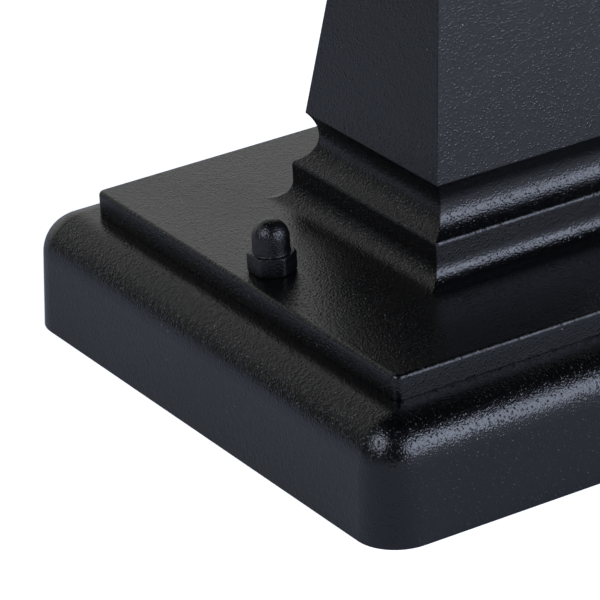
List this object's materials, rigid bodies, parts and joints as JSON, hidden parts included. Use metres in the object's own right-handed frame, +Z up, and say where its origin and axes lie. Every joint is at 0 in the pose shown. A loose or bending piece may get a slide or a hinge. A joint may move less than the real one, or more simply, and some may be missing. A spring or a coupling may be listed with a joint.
{
  "type": "deck post cap light",
  "caption": "Black cast lantern on a tapered square column, plate and cap that fits over a square deck post, with a hinged glazed door for the lamp.",
  "frame": {"origin": "centre of the cap's rim, the lowest face of the part", "axes": "+Z up along the column, -Y is the door's side, the cap nuts stand on the Y axis"},
  "size_m": [0.1486, 0.1486, 0.3961],
  "materials": {
    "powder_coat": "black semi-gloss powder coat over cast aluminium, fine grain",
    "coated_nut": "black coated steel, smoother and glossier than the castings",
    "strip_paint": "black painted aluminium strip",
    "black_steel": "blackened steel screw",
    "zinc_steel": "zinc plated steel",
    "stainless": "stainless steel, fine brushed",
    "earth_green": "green dyed zinc plate",
    "black_rubber": "moulded black rubber",
    "brass_part": "turned brass",
    "shell_aluminium": "drawn aluminium screw shell",
    "insulation_black": "black wire insulation",
    "insulation_white": "white wire insulation",
    "insulation_green": "green wire insulation",
    "connector_shell": "orange moulded connector shell",
    "pane_glass": "clear drawn glass with a light ripple",
    "porcelain": "white glazed porcelain",
    "nickel_cap": "nickel plated brass lamp cap",
    "bulb_envelope": "clear lamp glass",
    "filament_coat": "yellow phosphor coat on light strips"
  },
  "bodies": {
    "lantern": {"post_cap": "powder_coat", "pedestal": "powder_coat", "lantern_tray": "powder_coat", "lantern_cage": "powder_coat", "roof": "powder_coat", "vent_collar": "powder_coat", "vent_cap": "powder_coat", "finial": "powder_coat", "cap_nuts": "coated_nut", "glazing_strips": "strip_paint", "tray_screws": "black_steel", "bridge_screws": "black_steel", "mounting_bar": "zinc_steel", "bar_screws": "zinc_steel", "mounting_studs": "zinc_steel", "stud_locknuts": "zinc_steel", "stem_nuts": "zinc_steel", "stem_washers": "zinc_steel", "roof_bridge": "zinc_steel", "roof_rod": "zinc_steel", "rod_nut": "zinc_steel", "ground_screw": "earth_green", "supply_grommet": "black_rubber", "plate_gasket": "black_rubber", "stem_tube": "brass_part", "lampholder_contact": "brass_part", "lampholder_shell": "shell_aluminium", "lead_live": "insulation_black", "lead_neutral": "insulation_white", "lead_earth": "insulation_green", "lead_connectors": "connector_shell", "glass_left": "pane_glass", "glass_right": "pane_glass", "glass_rear": "pane_glass", "catch_spring": "stainless", "hinge_pins": "stainless", "lampholder": "porcelain", "bulb_cap": "nickel_cap", "bulb_glass": "bulb_envelope", "bulb_stem": "filament_coat"},
    "door": {"door_frame": "powder_coat", "door_glass": "pane_glass", "door_clips": "stainless", "door_knob": "powder_coat", "knob_screw": "stainless", "catch_blade": "stainless"}
  },
  "joints": [
    {"name": "door_swing", "type": "hinge", "parent": "lantern", "child": "door", "pos_m": [-0.0454, -0.0552, 0.2361], "axis": [0, 0, -1], "range_deg": [0, 110]}
  ]
}
